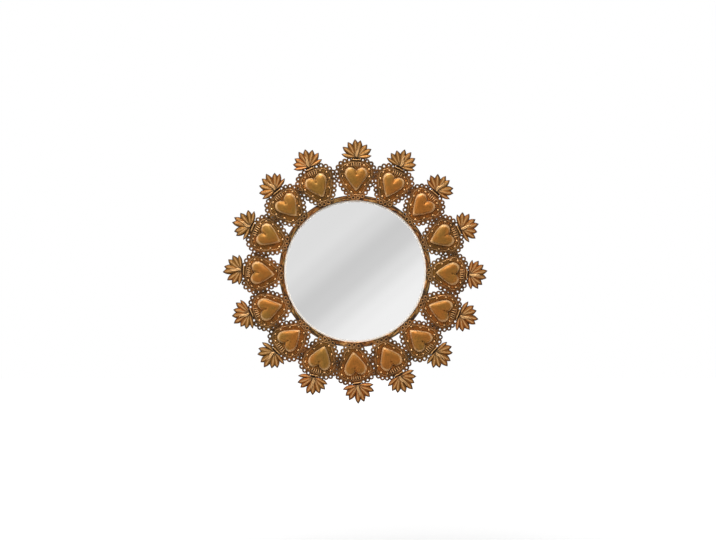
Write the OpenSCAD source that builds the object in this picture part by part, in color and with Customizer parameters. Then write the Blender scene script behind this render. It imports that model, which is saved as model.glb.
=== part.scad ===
// A round wall mirror in an iron hoop, ringed by sixteen pierced plates. Each plate carries a
// puffed heart under a crest of flames. Millimetres. The wall is the plane y = 0, the glass
// faces -Y, +Z is up and the origin lies on the glass's axis.
// Pieces are drawn in a front view: x to the right, y up, z out of the wall towards the room.

/* [Glass and backing] */
// Diameter of the mirror glass
glass_d = 336; // [300:1:400]
// Thickness of the mirror glass
glass_t = 4; // [3:0.5:6]
// Thickness of the backing board
board_t = 5; // [3:0.5:8]
// Radial room between the board's edge and the tabs
board_room = 1.3; // [0.5:0.1:3]

/* [Hoop] */
// Thickness of the hoop's wall
hoop_wall = 2; // [1.5:0.1:4]
// Thickness of the front lip at its edges
lip_t = 2.2; // [1.5:0.1:4]
// Height of the crown along the middle of the lip
lip_crown = 0.8; // [0.2:0.1:2]
// How far the lip covers the edge of the glass
lip_cover = 5.5; // [3:0.5:8]
// Radial room between the edge of the glass and the tabs
glass_room = 3.3; // [1:0.1:6]

/* [Retaining tabs] */
// Number of tabs inside the hoop
tab_count = 6; // [4:1:12]
// Width of a tab
tab_w = 14; // [8:1:24]
// Thickness of a tab
tab_t = 1.2; // [0.8:0.1:2]
// How far a tab's foot reaches inwards from the hoop's wall
tab_foot = 13; // [8:1:20]
// Room between a tab's end and the back of the lip
tab_end_room = 2; // [1:0.5:4]

/* [Hanger] */
// Distance from the board's edge down to the D-ring's pivot
hanger_drop = 52; // [45:1:90]
// Thickness of the D-ring's wire
wire_d = 3; // [2:0.5:4]
// Width of the D-ring between the middles of its legs
dring_w = 29; // [25:1:40]
// Radius of the D-ring's lower corners, at the middle of the wire
dring_corner_r = 3; // [2.5:0.5:5]
// Running clearance between the D-ring's bar and the strap's eye, on the radius
eye_fit = 0.08; // [0.02:0.01:0.1]
// Thickness of the strap's sheet
strap_t = 1.2; // [0.8:0.1:2]
// Width of the strap
strap_w = 16; // [12:1:18]
// Length of the strap below the D-ring's bar
strap_l = 34; // [30:1:50]
// Free space between the hanger and the wall
wall_gap = 4.2; // [3:0.1:10]
// Diameter of a screw's shank
screw_d = 3.5; // [2.5:0.1:4]
// Diameter of a screw's head
screw_head_d = 7; // [5:0.5:9]
// Height of a screw's head
screw_head_t = 2; // [1:0.1:3]
// How deep a screw goes into the board
screw_depth = 2.6; // [1:0.1:2.8]
// Distance from the D-ring's bar to the first screw
screw_from_bar = 10; // [9:0.5:12]
// Distance between the two screws
screw_pitch = 15; // [10:1:18]

/* [Heart plates] */
// Thickness of a plate's sheet
plate_t = 1; // [0.6:0.1:1.2]
// Height of a plate, from its lowest hole to its highest
plate_h = 88.5; // [80:0.5:100]
// How far neighbouring plates overlap
plate_lap = 8; // [7:0.5:9]
// Angle of each plate about its upright axis, so that it laps its neighbour
plate_angle = 1.3; // [1:0.05:2]
// How far a plate's trimmed tip stays outside the lip's inner edge
tip_margin = 2; // [0:0.5:6]
// Distance from the trimmed tip up to the lowest hole's centre
tip_hole_up = 4; // [3.5:0.5:6]
// Diameter of a hole in the lace edge
hole_d = 4.6; // [3:0.1:6]
// Spacing of the holes along the lace edge
hole_pitch = 11; // [10:0.5:14]
// Radius of a scallop round its hole
scallop_r = 5.9; // [5.7:0.1:7]
// Distance from the line of holes to the raised line
line_inset = 6.6; // [5:0.1:8]
// Width of the raised line
line_w = 1.3; // [0.8:0.1:2]
// Height of the raised line
line_h = 0.8; // [0.3:0.1:1.5]
// Distance from the line of holes to the row of beads
bead_inset = 10.3; // [10:0.1:12]
// Diameter of a bead
bead_d = 5; // [3:0.1:6]
// Height of a bead
bead_h = 1.6; // [0.6:0.1:2.4]
// Radius of the tongue that carries the crest
tongue_r = 10; // [6:0.5:11]
// Number of ribs above the heart
rib_count = 5; // [3:2:7]
// Spare metal between the raised line and the ribs' upper ends
rib_end_gap = 0.4; // [0:0.1:2]
// Spare metal between the heart and the ribs' lower ends
rib_foot_gap = 1.7; // [0.5:0.1:3]
// Width of a rib
rib_w = 3.2; // [2:0.1:3.8]
// Spacing of the ribs at half their length
rib_pitch = 4.9; // [4:0.1:5.5]
// Angle between neighbouring ribs, which spread upwards
rib_fan = 4; // [0:0.5:5]
// Height of a rib
rib_h = 1; // [0.5:0.1:1.3]

/* [Puffed hearts] */
// Width of a heart
heart_w = 51.5; // [40:0.5:56]
// Height of a heart, from its tip to the tops of its lobes
heart_l = 53.5; // [40:0.5:56]
// How far a heart stands proud of its plate
heart_rise = 10; // [5:0.5:14]
// How full the heart's sides are: 2 gives an elliptical dome, more makes its sides steeper
heart_fullness = 2.6; // [2:0.1:4]
// Thickness of a heart's shell
heart_sheet = 0.9; // [0.6:0.1:2]
// Distance from a plate's lowest hole up to the tip of its heart
heart_up = 16; // [14:0.5:20]

/* [Flame crests] */
// Distance from a plate's highest hole up to the middle of its crest
crest_up = 4.5; // [2:0.5:6]
// Length of the tallest petals, from the middle of the crest
petal_l = 39.5; // [30:0.5:50]
// Width of a petal
petal_w = 13; // [8:0.5:15]
// Thickness of a petal at its edges
petal_t = 1; // [0.6:0.1:2]
// Height of a petal's ridge above its edges
petal_ridge = 1.2; // [0.5:0.1:2.5]
// Length of the standing flame in front of the petals
flame_l = 26; // [15:0.5:30]
// Width of the standing flame
flame_w = 7.5; // [5:0.5:12]
// Height of the standing flame's ridge above its edges
flame_ridge = 1.8; // [0.5:0.1:3]
// Sideways bend of the standing flame
flame_bend = 2.5; // [0:0.1:5]
// Length of the collar bar under the petals
collar_l = 22; // [15:0.5:26]
// Thickness of the collar bar
collar_d = 2.6; // [1.5:0.1:3.5]
// Distance from the middle of the crest down to the collar bar
collar_drop = 4.5; // [2:0.5:5]
// Width of the neck between the petals and the collar bar
neck_w = 18; // [10:0.5:22]

/* [Joining] */
// Leg of the weld bead between a plate and the hoop
weld_leg = 4; // [2:0.5:6]
// Length of a weld bead
weld_l = 12; // [6:1:18]
// Diameter of a solder spot between two plates
solder_d = 2.6; // [1.5:0.1:3]
// Seating clearance behind a plate, and in front of a weld or a solder spot
seat = 0.05; // [0.02:0.01:0.2]

/* [Hidden] */
$fn = 96;
HEARTS = 16;
numbers = ["01", "02", "03", "04", "05", "06", "07", "08",
           "09", "10", "11", "12", "13", "14", "15", "16"];

// The plates, hearts and crests were set by hand, so each is a little off its even place.
// How far each plate stands clockwise (+) of its even place, in degrees
wander = [0.4, 0.7, 1, 1.2, 1.4, 1.3, 1.3, 0.9, 0, -1, -1, -0.9, -1, -0.7, -1, -1];
// How far each plate leans clockwise (+) about its widest point, in degrees
plate_lean = [0, 2, -1, 0, 2, -5, -5, -7, -7, -3, 6, 9, 7, 4, 6, -2];
// How far each crest leans clockwise (+) on its plate, in degrees
crest_lean = [3, 0, -4, -4, -2, 2, 0, -2, -3, -4, -4, -7, -4, -5, -1, 3];
// How far each crest sits to the right (+) of its plate's middle line, in millimetres
crest_aside = [1.5, -1, -2, -2, -0.5, -2, -3, -3, -2, 0.5, 0.5, 3, 3, 4, 3, 0];
// How far each heart sits to the right (+) of its plate's middle line, in millimetres
heart_aside = [1, 0, -1, -1, 0, 0, -1, -1, -1, 0, 1, 2, 1, 2, 2, -1];

// Depths, measured out from the wall
eye_r = wire_d/2 + eye_fit;
board_back = wall_gap + 2*(eye_r + strap_t);
board_front = board_back + board_t;
glass_front = board_front + glass_t;
lip_edge_front = glass_front + lip_t;
lip_front = lip_edge_front + lip_crown;

// Radii, measured from the middle of the glass
sight_r = glass_d/2 - lip_cover;
hoop_in_r = glass_d/2 + glass_room + tab_t;
hoop_out_r = hoop_in_r + hoop_wall;
board_r = hoop_in_r - tab_t - board_room;
hanger_up = board_r - hanger_drop;

// The line of holes runs up each plate's right side from its lowest point to its highest, as
// shares of the plate's half width and height.
side_shares = [[0, 0], [0.38, 0.055], [0.77, 0.32], [0.99, 0.575], [1, 0.715], [0.76, 0.9],
               [0.3, 0.985], [0, 1]];
widest_share = 0.65;
track_low = sight_r + tip_margin + tip_hole_up;
track_high = track_low + plate_h;
widest_y = track_low + widest_share*plate_h;
track_half_w = widest_y*tan(180/HEARTS) + plate_lap/2 - scallop_r;

// The plate's back stands clear of the lip's crown, even where a leaning plate's tip reaches
// furthest to the side that turns towards it.
tip_half_w = 27;
plate_back = lip_front + tip_half_w*sin(plate_angle) + seat;

// The heart's right half, from the notch down to the tip, as shares of half width and height
heart_shares = [[0, 0.85], [0.2, 0.945], [0.56, 1], [0.87, 0.925], [1, 0.755], [0.93, 0.6],
                [0.72, 0.43], [0.44, 0.235], [0.15, 0.06], [0, 0]];

// A point on the smooth curve through p1 and p2, t of the way between them
function curve_point(p0, p1, p2, p3, t) =
    (2*p1 + (p2 - p0)*t + (2*p0 - 5*p1 + 4*p2 - p3)*t*t + (3*p1 - p0 - 3*p2 + p3)*t*t*t)/2;

// A smooth closed curve through the points, with the given number of steps in each stretch
function closed_curve(points, steps) =
    let (n = len(points))
    [for (i = [0:n - 1], j = [0:steps - 1])
        curve_point(points[(i + n - 1) % n], points[i], points[(i + 1) % n],
                    points[(i + 2) % n], j/steps)];

// A smooth open curve through the points; its ends run straight on
function open_curve(points, steps) =
    let (n = len(points),
         ends = concat([2*points[0] - points[1]], points, [2*points[n - 1] - points[n - 2]]))
    concat([for (i = [0:n - 2], j = [0:steps - 1])
                curve_point(ends[i], ends[i + 1], ends[i + 2], ends[i + 3], j/steps)],
           [points[n - 1]]);

// Running length along a closed curve, one value more than it has points
function running_length(points) =
    let (n = len(points))
    [for (i = 0, s = 0; i <= n;
          s = s + norm(points[(i + 1) % n] - points[i % n]), i = i + 1) s];

// The line of holes: right side up, then left side down
right_side = [for (p = side_shares) [p.x*track_half_w, track_low + p.y*plate_h]];
left_side = [for (i = [len(right_side) - 2:-1:1]) [-right_side[i].x, right_side[i].y]];
track = closed_curve(concat(right_side, left_side), 8);
track_s = running_length(track);
track_length = track_s[len(track)];
track_x = [for (i = [0:len(track)]) [track_s[i], track[i % len(track)].x]];
track_y = [for (i = [0:len(track)]) [track_s[i], track[i % len(track)].y]];

// The point at length s along the line of holes, moved inwards by the inset
function on_track(s, inset) =
    let (at = (s + track_length) % track_length,
         before = (at - 0.5 + track_length) % track_length,
         after = (at + 0.5) % track_length,
         run = [lookup(after, track_x) - lookup(before, track_x),
                lookup(after, track_y) - lookup(before, track_y)],
         inward = [-run.y, run.x]/norm(run))
    [lookup(at, track_x), lookup(at, track_y)] + inset*inward;

function track_loop(inset, n) = [for (i = [0:n - 1]) on_track(i*track_length/n, inset)];

// Holes sit evenly along the line, except where the crest covers them.
hole_count = 2*round(track_length/hole_pitch/2);
hole_spots = [for (i = [0:hole_count - 1])
              let (s = (i + 0.5)*track_length/hole_count)
              if (abs(s - track_length/2) > collar_l/2 + hole_d/2) on_track(s, 0)];
// Beads and ribs reach this far into the plate, so that they are one with it.
relief_sink = 0.3;
// Beads sit at these shares of each side's length, from the plate's lowest point.
bead_shares = [0.13, 0.3, 0.47, 0.66, 0.835];
bead_spots = [for (f = bead_shares, side = [1, -1])
              let (p = on_track(f*track_length/2, bead_inset)) [side*p.x, p.y]];

// Turns a front view so that its z points out of the wall, towards -Y.
module off_wall() {
    rotate([90, 0, 0]) children();
}

// Puts a piece drawn in an upright plate's plane at place k, counted clockwise from the top.
module at_place(k) {
    off_wall()
        rotate([0, 0, -360/HEARTS*k - wander[k]])
            translate([0, 0, plate_back])
                rotate([0, plate_angle, 0])
                    children();
}

// Leans a piece drawn on an upright plate as plate k leans.
module leaning(k) {
    translate([0, widest_y, 0])
        rotate([0, 0, -plate_lean[k]])
            translate([0, -widest_y, 0])
                children();
}

module hoop() {
    color("#6b4a2c")
    off_wall()
        rotate_extrude()
            polygon(concat([[hoop_out_r, 0], [hoop_in_r, 0], [hoop_in_r, glass_front],
                            [sight_r, glass_front]], lip_arc()));
}

// The crowned front of the lip, from its inner edge to its outer edge
function lip_arc() =
    let (lip_w = hoop_out_r - sight_r, steps = 8)
    [for (i = [0:steps])
        [sight_r + lip_w*i/steps, lip_edge_front + lip_crown*(1 - pow(2*i/steps - 1, 2))]];

module mirror_glass() {
    color("#c9ced2")
    off_wall()
        translate([0, 0, board_front]) cylinder(d = glass_d, h = glass_t);
}

module backing_board() {
    color("#8a6b4a")
    off_wall()
        difference() {
            translate([0, 0, board_back]) cylinder(r = board_r, h = board_t);
            for (i = [0, 1])
                translate([0, screw_y(i), board_back - strap_t])
                    cylinder(d = screw_d, h = screw_depth + strap_t);
        }
}

module retaining_tabs() {
    color("#55504a")
    off_wall()
        for (i = [0:tab_count - 1])
            rotate([0, 0, (i + 0.5)*360/tab_count])
                retaining_tab();
}

// One tab at the hoop's right side: a leg welded flat against the wall and a foot over the board
module retaining_tab() {
    half_angle = asin(tab_w/2/hoop_in_r);
    leg_l = glass_front - tab_end_room - board_back;
    rotate([0, 0, -half_angle])
        rotate_extrude(angle = 2*half_angle) {
            translate([hoop_in_r - tab_t, board_back - tab_t]) square([tab_t, leg_l + tab_t]);
            translate([hoop_in_r - tab_foot, board_back - tab_t]) square([tab_foot, tab_t]);
        }
}

// A fillet between each leaning plate's back and the hoop's outer face
module plate_welds() {
    color("#4a443d")
    off_wall()
        for (k = [0:HEARTS - 1]) {
            half_angle = asin(weld_l/2/hoop_out_r);
            aside = (hoop_out_r - widest_y)*sin(plate_lean[k]);
            weld_front = plate_back - (aside + weld_l/2)*sin(plate_angle) - seat;
            rotate([0, 0, 90 - 360/HEARTS*k - wander[k] - asin(aside/hoop_out_r) - half_angle])
                rotate_extrude(angle = 2*half_angle)
                    polygon([[hoop_out_r, weld_front], [hoop_out_r, weld_front - weld_leg],
                             [hoop_out_r + weld_leg, weld_front]]);
        }
}

module lap_solder() {
    color("#8d8a80")
    for (k = [0:HEARTS - 1]) {
        spot = lap_spot(k);
        at_place(k)
            translate([spot.x, spot.y, plate_t])
                cylinder(d = solder_d, h = 2*spot.x*sin(plate_angle) - plate_t - seat);
    }
}

function turned(p, angle) =
    [p.x*cos(angle) - p.y*sin(angle), p.x*sin(angle) + p.y*cos(angle)];

// The holes on one side (1 right, -1 left) of leaning plate k
function side_holes(k, side) =
    [for (p = hole_spots) if (p.x*side > track_half_w/2)
        turned(p - [0, widest_y], -plate_lean[k]) + [0, widest_y]];

// How much metal there is round p between the nearest hole and its scallop's edge
function metal_round(p, holes) =
    let (away = min([for (h = holes) norm(p - h)])) min(away - hole_d/2, scallop_r - away);

// Where plate k is soldered to the next: on the middle line of their lap, where both have most metal
function lap_spot(k) =
    let (next = (k + 1) % HEARTS,
         step = 360/HEARTS + wander[next] - wander[k],
         near = side_holes(k, 1),
         far = [for (p = side_holes(next, -1)) turned(p, -step)],
         middle = [sin(step/2), cos(step/2)],
         reach = hole_pitch*3/4,
         tries = [for (i = [-12:12]) (widest_y/middle.y + reach*i/12)*middle],
         scores = [for (p = tries) min(metal_round(p, near), metal_round(p, far))])
    tries[max_index(scores)];

function max_index(values) = search(max(values), values)[0];

function screw_y(i) = hanger_up - screw_from_bar - i*screw_pitch;
bar_z = board_back - strap_t - eye_r;

module hanger_strap() {
    color("#9a9a94")
    off_wall()
        difference() {
            translate([0, hanger_up, 0]) {
                translate([0, 0, bar_z])
                    rotate([0, 90, 0]) cylinder(r = eye_r + strap_t, h = strap_w, center = true);
                translate([-strap_w/2, -strap_l, board_back - 2*strap_t])
                    cube([strap_w, strap_l, 2*strap_t]);
            }
            translate([0, hanger_up, bar_z])
                rotate([0, 90, 0]) cylinder(r = eye_r, h = 2*strap_w, center = true);
            for (i = [0, 1])
                translate([0, screw_y(i), board_back - 3*strap_t])
                    cylinder(d = screw_d, h = 4*strap_t);
        }
}

module hanger_ring() {
    bar_l = dring_w - 2*dring_corner_r;
    color("#b4b4ae")
    off_wall()
        translate([0, hanger_up, bar_z]) {
            rotate([0, 90, 0]) cylinder(d = wire_d, h = bar_l, center = true);
            for (side = [0, 1])
                mirror([side, 0, 0])
                    translate([bar_l/2, dring_corner_r, 0])
                        rotate([0, 0, -90]) rotate_extrude(angle = 90)
                            translate([dring_corner_r, 0]) circle(d = wire_d);
            translate([0, dring_corner_r, 0])
                rotate_extrude(angle = 180)
                    translate([dring_w/2, 0]) circle(d = wire_d);
        }
}

module hanger_screws() {
    color("#c0b48a")
    off_wall()
        for (i = [0, 1])
            translate([0, screw_y(i), board_back - 2*strap_t])
                hanger_screw();
}

// A pan-head screw that points away from the wall, with its head's seat at z = 0
module hanger_screw() {
    slot_w = screw_head_d/6;
    slot_depth = screw_head_t/2;
    difference() {
        union() {
            cylinder(d = screw_d, h = 2*strap_t + screw_depth);
            translate([0, 0, -screw_head_t]) cylinder(d = screw_head_d, h = screw_head_t);
        }
        for (turn = [0, 90])
            rotate([0, 0, turn])
                translate([-screw_head_d/3, -slot_w/2, -screw_head_t - 1])
                    cube([screw_head_d*2/3, slot_w, slot_depth + 1]);
    }
}

module heart_plate(k) {
    color("#7a4a24")
    at_place(k)
        difference() {
            leaning(k) {
                linear_extrude(plate_t) plate_outline();
                translate([0, 0, plate_t]) plate_relief();
            }
            translate([0, 0, -plate_t]) cylinder(r = sight_r + tip_margin, h = 4*plate_t);
        }
}

module plate_outline() {
    difference() {
        union() {
            polygon(track_loop(0, 48));
            translate([0, track_high + crest_up]) circle(r = tongue_r);
            for (p = hole_spots) translate(p) circle(r = scallop_r);
        }
        for (p = hole_spots) translate(p) circle(d = hole_d);
    }
}

// Drawn on the plate's front: the raised line, the beads and the ribs over the heart
module plate_relief() {
    steps = 48;
    linear_extrude(line_h)
        polygon(concat(track_loop(line_inset, steps), track_loop(line_inset + line_w, steps)),
                paths = [[for (i = [0:steps - 1]) i], [for (i = [steps:2*steps - 1]) i]]);
    for (p = bead_spots) translate(p) bead();
    rib_high = track_high - line_inset - line_w - rib_end_gap;
    rib_low = track_low + heart_up + heart_l + rib_foot_gap;
    for (i = [-(rib_count - 1)/2:(rib_count - 1)/2])
        translate([i*rib_pitch, (rib_high + rib_low)/2, 0])
            rotate([0, 0, -i*rib_fan])
                rib(rib_high - rib_low);
}

// A spherical cap, sunk a little into the plate
module bead() {
    cap_r = (pow(bead_d/2, 2) + bead_h*bead_h)/2/bead_h;
    intersection() {
        translate([0, 0, bead_h - cap_r]) sphere(r = cap_r);
        translate([0, 0, -relief_sink]) cylinder(d = bead_d, h = relief_sink + bead_h);
    }
}

// A low round-topped bar with its middle at the origin, sunk a little into the plate
module rib(length) {
    rib_r = (pow(rib_w/2, 2) + rib_h*rib_h)/2/rib_h;
    translate([0, -length/2, 0])
        intersection() {
            translate([0, 0, rib_h - rib_r]) rotate([-90, 0, 0]) cylinder(r = rib_r, h = length);
            translate([-rib_w/2, 0, -relief_sink]) cube([rib_w, length, relief_sink + rib_h]);
        }
}

module puffed_heart(k) {
    color("#c8963c")
    at_place(k) leaning(k)
        translate([heart_aside[k], track_low + heart_up, plate_t]) heart_shell();
}

// The heart's closed outline, right half down and left half up, in shares of half width and height
function heart_outline(steps) =
    let (right = open_curve(heart_shares, steps), n = len(right))
    concat(right, [for (i = [n - 2:-1:1]) [-right[i].x, right[i].y]]);

// A domed shell, open at its back. Rings shrink towards the dome's middle, outside then inside.
module heart_shell() {
    outline = heart_outline(2);
    n = len(outline);
    levels = [1, 0.93, 0.78, 0.55, 0.28];
    inner_levels = [1, 0.85, 0.45];
    middle = [0, 0.58];
    inner = 1 - 2*heart_sheet/heart_w;
    function ring(share, scale, rise) =
        [for (p = outline)
            let (q = middle + (p - middle)*share*scale)
            [q.x*heart_w/2, q.y*heart_l,
             rise*pow(1 - pow(share, heart_fullness), 1/heart_fullness)]];
    outer_rings = [for (share = levels) ring(share, 1, heart_rise)];
    inner_rings = [for (share = inner_levels) ring(share, inner, heart_rise - heart_sheet)];
    top = [middle.x*heart_w/2, middle.y*heart_l, heart_rise];
    under = top - [0, 0, heart_sheet];
    points = concat([top], [for (r = outer_rings) each r], [for (r = inner_rings) each r], [under]);
    rows = len(levels);
    all_rows = rows + len(inner_levels);
    last = len(points) - 1;
    function at(row, i) = 1 + row*n + (i % n);
    faces = concat(
        [for (i = [0:n - 1]) [0, at(rows - 1, i), at(rows - 1, i + 1)]],
        [for (row = [0:rows - 2], i = [0:n - 1])
            each [[at(row, i), at(row, i + 1), at(row + 1, i + 1)],
                  [at(row, i), at(row + 1, i + 1), at(row + 1, i)]]],
        [for (i = [0:n - 1])
            each [[at(0, i), at(rows, i), at(rows, i + 1)],
                  [at(0, i), at(rows, i + 1), at(0, i + 1)]]],
        [for (row = [rows:all_rows - 2], i = [0:n - 1])
            each [[at(row, i), at(row + 1, i + 1), at(row, i + 1)],
                  [at(row, i), at(row + 1, i), at(row + 1, i + 1)]]],
        [for (i = [0:n - 1]) [last, at(all_rows - 1, i + 1), at(all_rows - 1, i)]]);
    polyhedron(points, faces);
}

module flame_crest(k) {
    color("#b8703a")
    at_place(k) leaning(k)
        translate([crest_aside[k], track_high + crest_up, plate_t])
            rotate([0, 0, -crest_lean[k]]) {
                petal_fan();
                standing_flame();
                collar();
            }
}

// The petals on each side, from the tallest to the lowest: angles from upright, lengths and widths
// as shares of the tallest, and how far the tips hook upwards
petal_angles = [11.7, 39, 61, 88];
petal_shares = [1, 0.935, 0.935, 0.86];
petal_w_shares = [1, 1, 0.95, 0.68];
petal_hooks = [0.5, 1.5, 1.5, 3.5];
// Widths of a petal and of the standing flame at a leaf's stations
petal_outline = [0.3, 0.76, 1, 0.92, 0.5, 0.06];
flame_outline = [0.45, 1, 0.8, 0.5, 0.3, 0.08];

module petal_fan() {
    for (i = [3:-1:0], side = [-1, 1])
        rotate([0, 0, -side*petal_angles[i]])
            leaf(petal_l*petal_shares[i], petal_w*petal_w_shares[i]*petal_outline, petal_ridge,
                 -side*petal_hooks[i], 0);
}

module standing_flame() {
    translate([0, 0, petal_t])
        leaf(flame_l, flame_w*flame_outline, flame_ridge, 0, flame_bend);
}

// A bar across the foot of the crest, on a flat neck that reaches up behind the petals
module collar() {
    translate([-collar_l/2, -collar_drop - collar_d, 0]) cube([collar_l, collar_d, collar_d]);
    translate([-neck_w/2, -collar_drop - collar_d/2, 0])
        cube([neck_w, collar_drop + collar_d, petal_t]);
}

// A ridged leaf along +y with its foot at the origin, and its widths at six stations. Its middle
// line hooks sideways by hook at the tip, or snakes by bend.
module leaf(length, widths, ridge, hook, bend) {
    stations = [0, 0.3, 0.6, 0.82, 0.94, 1];
    ridges = [0.2, 0.8, 1, 0.8, 0.5, 0.2];
    function middle(s) = hook*s*s + bend*sin(360*s);
    points = [for (i = [0:len(stations) - 1])
        let (x = middle(stations[i]), y = stations[i]*length, w = widths[i]/2,
             top = petal_t + ridges[i]*ridge)
        each [[x - w, y, 0], [x - w, y, petal_t], [x, y, top], [x + w, y, petal_t], [x + w, y, 0]]];
    sides = 5;
    spans = len(stations) - 1;
    faces = concat(
        [[for (i = [0:sides - 1]) i]],
        [for (j = [0:spans - 1], i = [0:sides - 1])
            let (a = j*sides + i, b = j*sides + (i + 1) % sides)
            each [[a, a + sides, b + sides], [a, b + sides, b]]],
        [[for (i = [sides - 1:-1:0]) spans*sides + i]]);
    polyhedron(points, faces);
}

hoop();
mirror_glass();
backing_board();
retaining_tabs();
plate_welds();
lap_solder();
hanger_strap();
hanger_ring();
hanger_screws();
for (k = [0:HEARTS - 1]) {
    heart_plate(k);
    puffed_heart(k);
    flame_crest(k);
}
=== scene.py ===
"""The looks of the iron wall mirror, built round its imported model.

Shapes are drawn in millimetres in the part's front view: x to the right, y up and z out of the
wall. They are put in place in metres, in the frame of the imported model.
"""

import math

import bpy
import numpy as np
from mathutils import Matrix, Vector
from mathutils.geometry import delaunay_2d_cdt

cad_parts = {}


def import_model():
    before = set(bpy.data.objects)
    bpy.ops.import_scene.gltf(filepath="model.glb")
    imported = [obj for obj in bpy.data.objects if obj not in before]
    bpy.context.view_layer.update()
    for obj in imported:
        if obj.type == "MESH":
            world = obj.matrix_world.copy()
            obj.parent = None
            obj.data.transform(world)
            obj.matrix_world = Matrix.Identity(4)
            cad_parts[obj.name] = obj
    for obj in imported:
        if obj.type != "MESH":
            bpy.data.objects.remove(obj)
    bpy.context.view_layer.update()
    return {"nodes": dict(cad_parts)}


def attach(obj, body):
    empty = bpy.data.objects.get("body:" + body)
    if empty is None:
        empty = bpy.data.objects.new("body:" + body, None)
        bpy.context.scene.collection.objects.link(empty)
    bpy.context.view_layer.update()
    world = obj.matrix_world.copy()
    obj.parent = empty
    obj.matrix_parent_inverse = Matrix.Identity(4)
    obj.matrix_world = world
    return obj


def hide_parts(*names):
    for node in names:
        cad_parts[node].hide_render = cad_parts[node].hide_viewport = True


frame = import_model()

# The photograph and the camera
PHOTO_SIZE = (716, 540)
MIRROR_PIXEL = (355.1, 271.3)
MM_PER_PIXEL = 2.29
CAMERA_AWAY = 3.5
SENSOR = 36

# Millimetres to metres
MM = 0.001

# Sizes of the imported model, in millimetres and degrees
HEARTS = 16
GLASS_R = 168
GLASS_BACK = 14.76
GLASS_FRONT = 18.76
SIGHT_R = 162.5
HOOP_IN_R = 172.5
HOOP_OUT_R = 174.5
LIP_EDGE_FRONT = 20.96
LIP_CROWN = 0.8
PLATE_ANGLE = 1.3
PLATE_BACK = 22.423
PLATE_T = 1
TIP_R = 164.5
TRACK_LOW = 168.5
PLATE_H = 88.5
TRACK_HIGH = TRACK_LOW + PLATE_H
WIDEST_Y = TRACK_LOW + 0.65 * PLATE_H
PLATE_LAP = 8
SCALLOP_R = 5.9
HOLE_R = 2.3
HOLE_PITCH = 11
TRACK_HALF_W = WIDEST_Y * math.tan(math.pi / HEARTS) + PLATE_LAP / 2 - SCALLOP_R
LINE_INSET = 7.2
BEAD_INSET = 10.3
BEAD_R = 2.5
BEAD_H = 1.6
BEAD_SHARES = (0.13, 0.3, 0.47, 0.66, 0.835)
TONGUE_R = 10
CREST_UP = 4.5
HEART_UP = 16
HEART_W = 51.5
HEART_L = 53.5
HEART_RISE = 10
COLLAR_L = 22
COLLAR_D = 2.6
COLLAR_DROP = 4.5
RIB_COUNT = 5
RIB_PITCH = 4.9
RIB_SPREAD = 0.015

# Right halves of the plate's line of holes, from its foot, and of the heart, from its cleft: shares
# of half the width and of the height
SIDE_SHARES = ((0, 0), (0.38, 0.055), (0.77, 0.32), (0.99, 0.575), (1, 0.715), (0.76, 0.9),
               (0.3, 0.985), (0, 1))
HEART_SHARES = ((0, 0.85), (0.2, 0.945), (0.56, 1), (0.87, 0.925), (1, 0.755), (0.93, 0.6),
                (0.72, 0.43), (0.44, 0.235), (0.15, 0.06), (0, 0))
HEART_MIDDLE = (0, 0.56)

# How each hand-set motif is off its even place, clockwise (+) in degrees, to the right (+) in mm
WANDER = (0.4, 0.7, 1, 1.2, 1.4, 1.3, 1.3, 0.9, 0, -1, -1, -0.9, -1, -0.7, -1, -1)
PLATE_LEAN = (0, 2, -1, 0, 2, -5, -5, -7, -7, -3, 6, 9, 7, 4, 6, -2)
CREST_LEAN = (3, 0, -4, -4, -2, 2, 0, -2, -3, -4, -4, -7, -4, -5, -1, 3)
CREST_ASIDE = (1.5, -1, -2, -2, -0.5, -2, -3, -3, -2, 0.5, 0.5, 3, 3, 4, 3, 0)
HEART_ASIDE = (1, 0, -1, -1, 0, 0, -1, -1, -1, 0, 1, 2, 1, 2, 2, -1)

# Seeds of the random draws: the hoop's, and those of plates, hearts and crests at the first place
HOOP_SEED = 5
PLATE_SEED = 100
HEART_SEED = 300
CREST_SEED = 500


def number(k):
    """The number that the names of a place's pieces end with."""
    return f"{k + 1:02d}"


# Curves and waves

def smooth_curve(points, steps, closed=False):
    """A smooth curve through the points, with the same number of steps in each stretch."""
    p = np.asarray(points, float)
    if closed:
        ends = np.vstack([p[-1:], p, p[:2]])
        spans = len(p)
    else:
        ends = np.vstack([2 * p[:1] - p[1:2], p, 2 * p[-1:] - p[-2:-1]])
        spans = len(p) - 1
    t = np.arange(steps)[:, None] / steps
    stretches = []
    for i in range(spans):
        a, b, c, d = ends[i:i + 4]
        stretches.append((2 * b + (c - a) * t + (2 * a - 5 * b + 4 * c - d) * t**2
                          + (3 * b - a - 3 * c + d) * t**3) / 2)
    if not closed:
        stretches.append(p[-1:])
    return np.vstack(stretches)


def running_length(points):
    """The length along the points up to each of them."""
    steps = np.linalg.norm(np.diff(points, axis=0), axis=1)
    return np.concatenate([[0], np.cumsum(steps)])


def nearest_on(loop, points):
    """For each point, its distance to the closed loop and the loop's running length there."""
    run = np.roll(loop, -1, axis=0) - loop
    length = np.linalg.norm(run, axis=1)
    before = running_length(np.vstack([loop, loop[:1]]))[:-1]
    offset = points[:, None] - loop[None]
    t = np.clip((offset * run[None]).sum(2) / length**2, 0, 1)
    away = np.linalg.norm(offset - t[..., None] * run[None], axis=2)
    best = away.argmin(1)
    row = np.arange(len(points))
    return away[row, best], before[best] + t[row, best] * length[best]


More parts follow.
